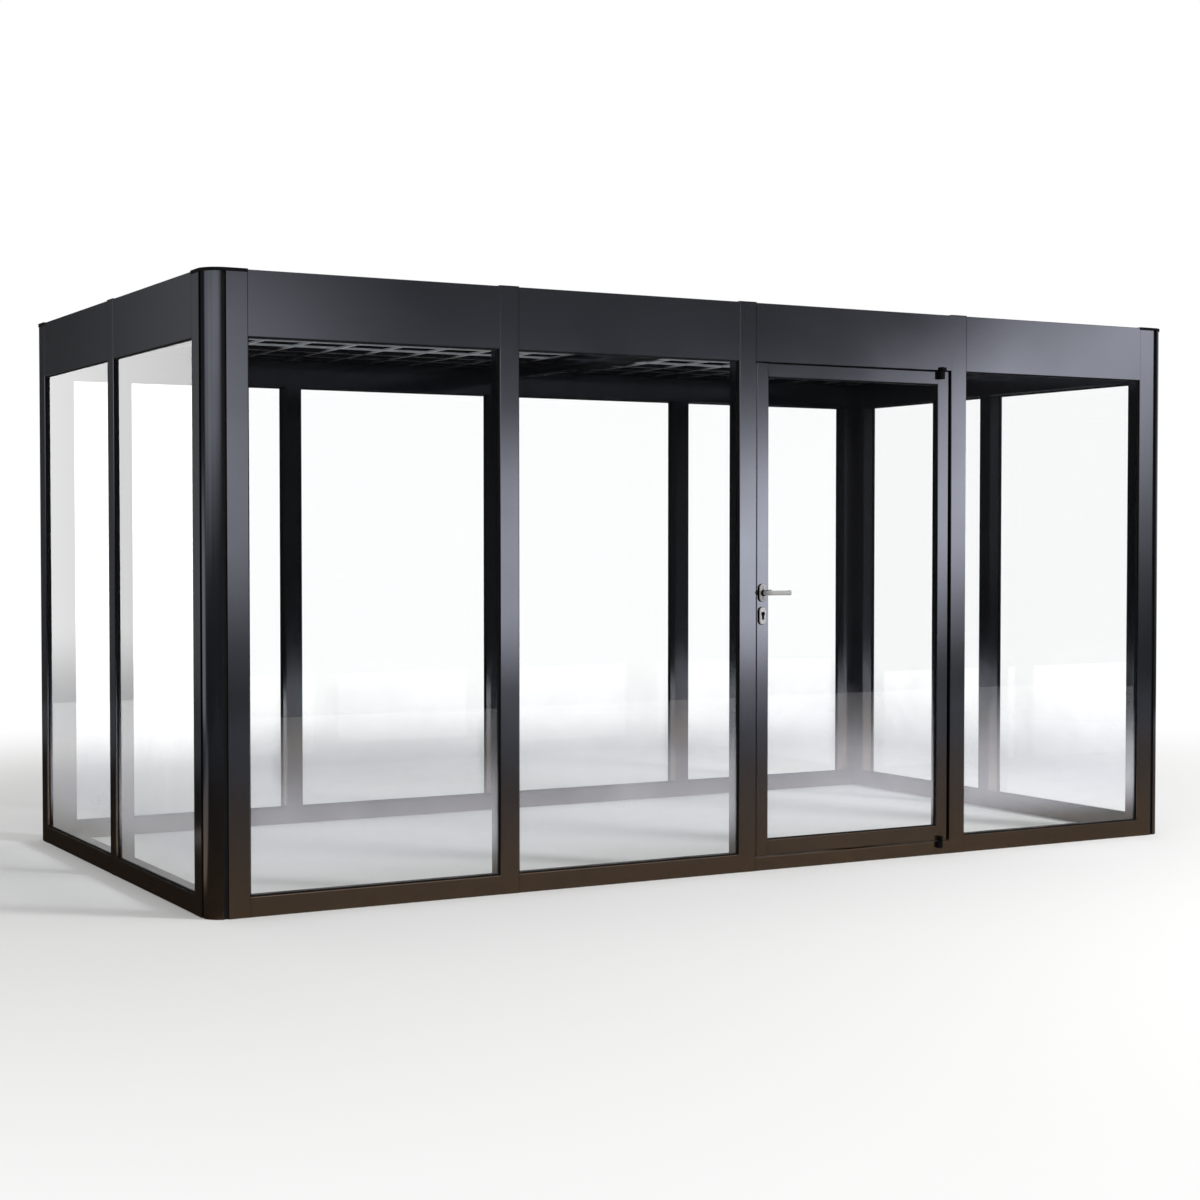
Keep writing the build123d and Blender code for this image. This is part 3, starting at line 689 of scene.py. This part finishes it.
def makeDoorSeals():
    # Black rubber strips on the frame that close the gap above the leaf and the one beside its hinges
    look = sealLook
    bm = bmesh.new()
    stileLow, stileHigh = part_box("door_hinge_stile")
    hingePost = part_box("front_post_hinge")[0][0]
    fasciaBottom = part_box("front_fascia")[0][2]
    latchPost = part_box("front_post_latch")[1][0]
    front = leafLow[1] + look["setback"]
    end = (hingePost, front + look["depth"], fasciaBottom)
    addBar(bm, (stileHigh[0] + look["clearance"], front, stileLow[2]), end)
    addBar(bm, (latchPost, front, stileHigh[2] + look["clearance"]), end)
    finishPiece("doorSeals", bm, "gasket_rubber", "frame")


makeDoorSeals()

grooveLook = {
    "noseRadius": 76.0 * mm,
    "width": 18.0 * mm,
    "depth": 12.0 * mm,
    "thickness": 3.0 * mm,
}


def makeGrooveShadeStrips():
    # Black rubber strips in the bottom of the grooves beside the rounded noses of the corner posts: dark
    # pieces that paint in the shade down in the grooves
    look = grooveLook
    bm = bmesh.new()
    outer, inner = look["depth"] - look["thickness"], look["depth"]
    start, end = look["noseRadius"] - look["width"], look["noseRadius"]
    for corner in ("front_left", "front_right", "rear_left", "rear_right"):
        low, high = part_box(f"corner_post_{corner}")
        cornerX, wayX = (low[0], 1) if "left" in corner else (high[0], -1)
        cornerY, wayY = (low[1], 1) if "front" in corner else (high[1], -1)
        outline = ((start, outer), (end, outer), (end, inner), (start, inner))
        for points in (outline, [(across, along) for along, across in outline]):
            ends = []
            for level in (low[2], high[2]):
                verts = [bm.verts.new((cornerX + wayX * x, cornerY + wayY * y, level)) for x, y in points]
                ends.append([bm.edges.new(pair) for pair in zip(verts, verts[1:] + verts[:1])])
            skinRings(bm, ends, (0, -1))
    finishPiece("grooveShadeStrips", bm, "gasket_rubber", "frame")


makeGrooveShadeStrips()

roofLook = {
    "gap": 2.0 * mm,  # between a roof panel and the beams round it
    "beadSize": 9.0 * mm,
    "beadSteps": 5,
    "screwInset": 42.0 * mm,
    "screwPitch": 355.0 * mm,
    "washer": (9.0 * mm, 1.6 * mm),  # radius, height
    "washerEdge": 0.8 * mm,
    "washerSteps": 2,
    "head": (5.2 * mm, 3.2 * mm),
    "segments": 16,  # round a screw or washer
}


def makeRoofSeals():
    # A hollow-faced bead of black sealant along the edges of each roof panel
    look = roofLook
    bm = bmesh.new()
    for side in ("left", "right"):
        low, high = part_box(f"roof_panel_{side}")
        loops = []
        for east, north in ((0, 0), (1, 0), (1, 1), (0, 1)):
            cornerX = high[0] + look["gap"] if east else low[0] - look["gap"]
            cornerY = high[1] + look["gap"] if north else low[1] - look["gap"]
            profile = [(0.0, 0.0)]
            for step in range(look["beadSteps"] + 1):
                turn = math.radians(90) * step / look["beadSteps"]
                profile.append((look["beadSize"] * (1 - math.sin(turn)),
                                look["beadSize"] * (1 - math.cos(turn))))
            verts = [bm.verts.new((cornerX + (-inward if east else inward),
                                   cornerY + (-inward if north else inward), high[2] + rise))
                     for inward, rise in profile]
            loops.append([bm.edges.new(pair) for pair in zip(verts, verts[1:] + verts[:1])])
        for first, second in zip(loops, loops[1:] + loops[:1]):
            bmesh.ops.bridge_loops(bm, edges=first + second)
    finishPiece("roofSealant", bm, "gasket_rubber", "frame")


def makeRoofScrews():
    # Domed screws on rubber washers that hold the roof panels down on the lattice
    look = roofLook
    heads = bmesh.new()
    washers = bmesh.new()
    for side in ("left", "right"):
        low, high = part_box(f"roof_panel_{side}")
        spanX = high[0] - low[0] - 2 * look["screwInset"]
        spanY = high[1] - low[1] - 2 * look["screwInset"]
        countX = round(spanX / look["screwPitch"])
        countY = round(spanY / look["screwPitch"])
        places = {(x / countX, y) for x in range(countX + 1) for y in (0, 1)}
        places |= {(x, y / countY) for x in (0, 1) for y in range(countY + 1)}
        for shareX, shareY in sorted(places):
            x = low[0] + look["screwInset"] + shareX * spanX
            y = low[1] + look["screwInset"] + shareY * spanY

            def ring(bm, radius, level):
                centre = (x, y, high[2] + level)
                return addRing(bm, centre, (0, 0, 1), radius, segments=look["segments"])

            radius, height = look["washer"]
            edge = roundEdge(radius, height, look["washerEdge"], look["washerSteps"])
            rings = [ring(washers, radius, 0.0)] + [ring(washers, r, level) for r, level in edge]
            skinRings(washers, rings, (-1,))
            headRadius, headHeight = look["head"]
            dome = roundEdge(headRadius, height + headHeight, headHeight)
            skinRings(heads, [ring(heads, r, level) for r, level in dome], (-1,))
    finishPiece("roofScrews", heads, "satin_steel", "frame")
    finishPiece("roofWashers", washers, "gasket_rubber", "frame")


makeRoofSeals()
makeRoofScrews()
print("pieces made")


# Stage, light and camera

floorLook = {
    "halfWidth": 9.0,  # m
    "colour": "#f2f2f1",
    # As satin metal mirrors it: to the left near and far, in the pale stretch there, elsewhere near
    # and far
    "mirrored": ("#1f1e1d", "#5c5d60", "#b0b1b5", "#676769", "#8a8a8e"),
    "farLength": (3.5, 6.0),  # m that a mirrored ray goes before the floor counts as far off
    "paleStretch": (-0.9, -0.7, 0.9, 1.2),  # m along: starts, is full, ends being full, ends
    "paleEdge": (-2.8, -3.0),  # m across
    "mirrorEdge": (-2.27, -2.2),  # m across
    "paneGain": 1.043,  # keeps the backdrop white behind each face of glass
    "fade": (3.2, 7.0),  # m from the middle, where the floor turns into the white backdrop
}


def makeFloor():
    look = floorLook
    bm = bmesh.new()
    bmesh.ops.create_grid(bm, x_segments=1, y_segments=1, size=look["halfWidth"])
    mesh = bpy.data.meshes.new("studioFloor")
    bm.to_mesh(mesh)
    bm.free()
    floor = bpy.data.objects.new("studioFloor", mesh)
    bpy.context.scene.collection.objects.link(floor)
    material, tree = newMaterial("paleFloor")
    place = addNode(tree, "ShaderNodeTexCoord").outputs["Object"]
    distance = addNode(tree, "ShaderNodeVectorMath", {0: place}, operation="LENGTH")
    fadeStart, fadeEnd = look["fade"]
    fade = addNode(tree, "ShaderNodeMapRange", {
        "Value": distance.outputs["Value"], "From Min": fadeStart, "From Max": fadeEnd},
        interpolation_type="SMOOTHSTEP")
    path = addNode(tree, "ShaderNodeLightPath")
    seen = addNode(tree, "ShaderNodeMath", {
        0: path.outputs["Is Camera Ray"], 1: path.outputs["Is Transmission Ray"]},
        operation="MAXIMUM")
    white = addNode(tree, "ShaderNodeMath", {
        0: fade.outputs["Result"], 1: seen.outputs[0]}, operation="MULTIPLY")
    matt = addNode(tree, "ShaderNodeBsdfDiffuse", {"Color": hexColour(look["colour"])})
    clearer = addNode(tree, "ShaderNodeMath", {
        0: look["paneGain"], 1: path.outputs["Transmission Depth"]}, operation="POWER")
    glow = addNode(tree, "ShaderNodeEmission", {
        "Color": (1, 1, 1, 1), "Strength": clearer.outputs[0]})
    both = addNode(tree, "ShaderNodeMixShader", {
        0: white.outputs[0], 1: matt.outputs[0], 2: glow.outputs[0]})
    blurred = addNode(tree, "ShaderNodeMath", {
        0: path.outputs["Is Glossy Ray"], 1: path.outputs["Is Singular Ray"]}, operation="SUBTRACT",
        use_clamp=True)
    parts = addNode(tree, "ShaderNodeSeparateXYZ", {0: place}).outputs
    inFront = addNode(tree, "ShaderNodeMapRange", {
        "Value": parts["X"], "From Min": look["mirrorEdge"][0], "From Max": look["mirrorEdge"][1]})
    shade, leftFar, pale, near, frontFar = [hexColour(colour) for colour in look["mirrored"]]
    farOff = addNode(tree, "ShaderNodeMapRange", {
        "Value": path.outputs["Ray Length"], "From Min": look["farLength"][0],
        "From Max": look["farLength"][1]}, interpolation_type="SMOOTHSTEP")
    beside = addNode(tree, "ShaderNodeMix", {
        0: farOff.outputs["Result"], 6: shade, 7: leftFar}, data_type="RGBA")
    front = addNode(tree, "ShaderNodeMix", {
        0: farOff.outputs["Result"], 6: near, 7: frontFar}, data_type="RGBA")
    starts, full, fullEnd, ends = look["paleStretch"]
    limits = ((parts["Y"], starts, full), (parts["Y"], ends, fullEnd),
              (parts["X"], *look["paleEdge"]))
    share = 1.0
    for value, outside, within in limits:
        limit = addNode(tree, "ShaderNodeMapRange", {
            "Value": value, "From Min": outside, "From Max": within})
        share = addNode(tree, "ShaderNodeMath", {
            0: limit.outputs["Result"], 1: share}, operation="MULTIPLY").outputs[0]
    left = addNode(tree, "ShaderNodeMix", {
        0: share, 6: beside.outputs[2], 7: pale}, data_type="RGBA")
    ground = addNode(tree, "ShaderNodeMix", {
        0: inFront.outputs["Result"], 6: left.outputs[2], 7: front.outputs[2]}, data_type="RGBA")
    earth = addNode(tree, "ShaderNodeEmission", {"Color": ground.outputs[2], "Strength": 1.0})
    tone = addNode(tree, "ShaderNodeMix", {
        0: inFront.outputs["Result"], 6: (studio["paneLow"],) * 3 + (1.0,),
        7: hexColour(studio["paneFront"])}, data_type="RGBA")
    room = addNode(tree, "ShaderNodeEmission", {"Color": tone.outputs[2], "Strength": 1.0})
    mirror = addNode(tree, "ShaderNodeMath", {
        0: path.outputs["Is Singular Ray"], 1: path.outputs["Is Reflection Ray"]}, operation="MULTIPLY")
    farMirror = addNode(tree, "ShaderNodeMath", {
        0: fade.outputs["Result"], 1: mirror.outputs[0]}, operation="MULTIPLY")
    inPane = addNode(tree, "ShaderNodeMixShader", {
        0: farMirror.outputs[0], 1: both.outputs[0], 2: room.outputs[0]})
    shown = addNode(tree, "ShaderNodeMixShader", {
        0: blurred.outputs[0], 1: inPane.outputs[0], 2: earth.outputs[0]})
    addNode(tree, "ShaderNodeOutputMaterial", {"Surface": shown.outputs[0]})
    mesh.materials.append(material)


studio = {
    "fill": 0.72,  # even light on everything
    "inside": 0.024,  # how much of the lights reaches metal seen through the panes
    "walls": "#3a3b3d",  # the dim studio walls, as satin metal mirrors them
    "earth": "#332c27",  # the same below the horizon
    "earthLevels": (-6, -3),  # degrees of lift where one turns into the other
    "lightColour": "#eae9ec",
    "paneFront": "#303236",  # the dim room that panes mirror
    "paneLight": (-178, -172, -100, -85),  # bearings where they mirror a white light instead
    "paneSide": 2.9,  # strength of that light
    "paneLow": 1.5,  # the same below the horizon
    "paneLevels": (-4.6, -2.2),  # degrees of lift where one turns into the other
    # Soft lights that satin metal mirrors: bearing to the right of the front and lift above level,
    # both in degrees as start, full, end of full and end, then the strength and the slope of the
    # light's edges, in degrees of lift for a degree of bearing
    "lights": {
        "windowBand": ((21, 25, 34.5, 38), (-4.2, -2.2, 0.3, 4.2), 3.5, 0.0),
        "bandEnd": ((31, 36.5, 39.6, 42), (-3.0, -1.0, 2.4, 4.8), 3.6, 0.4),
        "rightPanel": ((37.6, 42.8, 48, 55), (0.6, 6.2, 9, 12.5), 3.0, 0.7),
        "leftPanel": ((8, 14, 18.5, 24), (-3.6, 0.2, 2.6, 11), 1.95, 0.0),
        "frontDim": ((-12, 10, 60, 90), (-4, 2, 50, 80), 0.15, 0.0),
        "leftSky": ((-108, -98, -26, -16), (-1.0, 4.5, 11, 18), 0.85, 0.04),
        "leftStreak": ((-108, -98, -80, -66), (-1.0, 4.5, 11, 18), 0.35, 0.04),
        "noseGlow": ((-86, -74, -52, -42), (-0.8, 3.4, 5.2, 9), 0.7, 0.04),
        "noseStreak": ((-54, -44, -24, -12), (-1.0, 4.5, 11, 18), 0.75, 0.04),
        "leftLow": ((-146, -134, -116, -102), (-14, -8, -0.5, 2.5), 1.2, 0.0),
        "leftWall": ((-166, -158, -152, -144), (-7.5, -1.5, 40, 70), 0.42, 0.0),
        "rearPanel": ((85, 110, 140, 165), (-4, 2, 40, 70), 0.9, 0.0),
        "groundGlow": ((-181, -180, 180, 181), (-92, -91, -13, -9), 0.16, 0.0),
    },
    "lightTop": (8.6, 7.0),  # degrees of lift where all of these end
    "ceiling": (35, 65),  # degrees of lift where the light from above sets in
    "ceilingStrength": 0.8,
}


def makeWorld():
    look = studio
    world = bpy.data.worlds.new("whiteStudio")
    bpy.context.scene.world = world
    world.use_nodes = True
    tree = world.node_tree
    tree.nodes.clear()
    way = addNode(tree, "ShaderNodeTexCoord").outputs["Generated"]
    parts = addNode(tree, "ShaderNodeSeparateXYZ", {0: way}).outputs

    def work(operation, a, b=0.0, c=0.0):
        return addNode(tree, "ShaderNodeMath", {0: a, 1: b, 2: c}, operation=operation).outputs[0]

    def rise(value, first, last):
        return addNode(tree, "ShaderNodeMapRange", {
            "Value": value, "From Min": math.radians(first), "From Max": math.radians(last)},
            interpolation_type="SMOOTHSTEP").outputs["Result"]

    def between(value, start, full, fullEnd, end):
        return work("MULTIPLY", rise(value, start, full), rise(value, end, fullEnd))

    def blend(share, first, second):
        return addNode(tree, "ShaderNodeMix", {0: share, 6: first, 7: second}, data_type="RGBA").outputs[2]

    bearing = work("ARCTAN2", parts["X"], work("MULTIPLY", parts["Y"], -1.0))
    lift = work("ARCSINE", parts["Z"])
    light = 0.0
    for bearings, lifts, strength, slope in look["lights"].values():
        middle = math.radians(sum(bearings) / 4)
        level = work("MULTIPLY_ADD", bearing, -slope, work("ADD", lift, slope * middle))
        share = work("MULTIPLY", between(bearing, *bearings), between(level, *lifts))
        light = work("MULTIPLY_ADD", share, strength, light)
    light = work("MULTIPLY", light, rise(lift, *look["lightTop"]))
    light = work("MULTIPLY_ADD", rise(lift, *look["ceiling"]), look["ceilingStrength"], light)
    path = addNode(tree, "ShaderNodeLightPath").outputs
    noneOrSome = 0.5  # tells a depth of 0 from one of 1 and more
    throughPane = work("GREATER_THAN", path["Transmission Depth"], noneOrSome)
    dim = work("MULTIPLY_ADD", throughPane, look["inside"] - 1.0, 1.0)
    dark = blend(rise(lift, *look["earthLevels"]), hexColour(look["earth"]), hexColour(look["walls"]))
    lit = addNode(tree, "ShaderNodeVectorMath", {
        0: hexColour(look["lightColour"])[:3], 1: light}, operation="MULTIPLY")
    mirrored = addNode(tree, "ShaderNodeVectorMath", {0: dark, 1: lit.outputs[0]}, operation="ADD")
    dimmed = addNode(tree, "ShaderNodeVectorMath", {0: mirrored.outputs[0], 1: dim}, operation="MULTIPLY")
    bounces = work("ADD", path["Glossy Depth"], path["Diffuse Depth"])
    through = work("MULTIPLY", path["Is Transmission Ray"], work("LESS_THAN", bounces, noneOrSome))
    mirror = work("MULTIPLY", path["Is Singular Ray"], path["Is Reflection Ray"])
    white = work("MAXIMUM", path["Is Camera Ray"], through)
    fill = (look["fill"],) * 3 + (1.0,)
    shown = blend(path["Is Glossy Ray"], fill, dimmed.outputs[0])
    side = blend(rise(lift, *look["paneLevels"]), (look["paneLow"],) * 3 + (1.0,),
                 (look["paneSide"],) * 3 + (1.0,))
    inPane = blend(between(bearing, *look["paneLight"]), hexColour(look["paneFront"]), side)
    shown = blend(mirror, shown, inPane)
    shown = blend(white, shown, (1, 1, 1, 1))
    clearer = work("POWER", floorLook["paneGain"], path["Transmission Depth"])
    strength = work("MULTIPLY_ADD", through, work("SUBTRACT", clearer, 1.0), 1.0)
    back = addNode(tree, "ShaderNodeBackground", {"Color": shown, "Strength": strength})
    addNode(tree, "ShaderNodeOutputWorld", {"Surface": back.outputs[0]})


makeFloor()
makeWorld()

keyLamp = {
    "toward": (0.51, -0.70, 0.51),  # from the front, right and above
    "distance": 11.0,  # m
    "size": 2.2,  # m
    "power": 620.0,  # W
}


def addKeyLamp():
    lamp = bpy.data.lights.new("keySoftbox", "AREA")
    lamp.shape = "DISK"
    lamp.size = keyLamp["size"]
    lamp.energy = keyLamp["power"]
    lampObject = bpy.data.objects.new("keySoftbox", lamp)
    lampObject.visible_glossy = False  # the soft lights round about are what the metal mirrors
    lampObject.visible_transmission = False
    toward = Vector(keyLamp["toward"]).normalized()
    lampObject.location = toward * keyLamp["distance"]
    lampObject.rotation_euler = toward.to_track_quat("Z", "Y").to_euler()
    bpy.context.scene.collection.objects.link(lampObject)


addKeyLamp()

photoCamera = {
    "place": (-4.6537, -8.2529, 1.3473),  # m
    "tilt": -1.657,  # degrees below level
    "turn": -29.191,  # degrees from looking straight at the front
    "lens": 63.005,  # mm
    "sensor": 36.0,  # mm wide
}


def addCamera():
    look = photoCamera
    camera = bpy.data.cameras.new("photoCamera")
    camera.sensor_width = look["sensor"]
    camera.lens = look["lens"]
    cameraObject = bpy.data.objects.new("photoCamera", camera)
    cameraObject.location = look["place"]
    cameraObject.rotation_euler = (math.radians(90 + look["tilt"]), 0, math.radians(look["turn"]))
    bpy.context.scene.collection.objects.link(cameraObject)
    bpy.context.scene.camera = cameraObject


addCamera()
bpy.context.scene.view_settings.view_transform = "Standard"
print("stage, light and camera set")
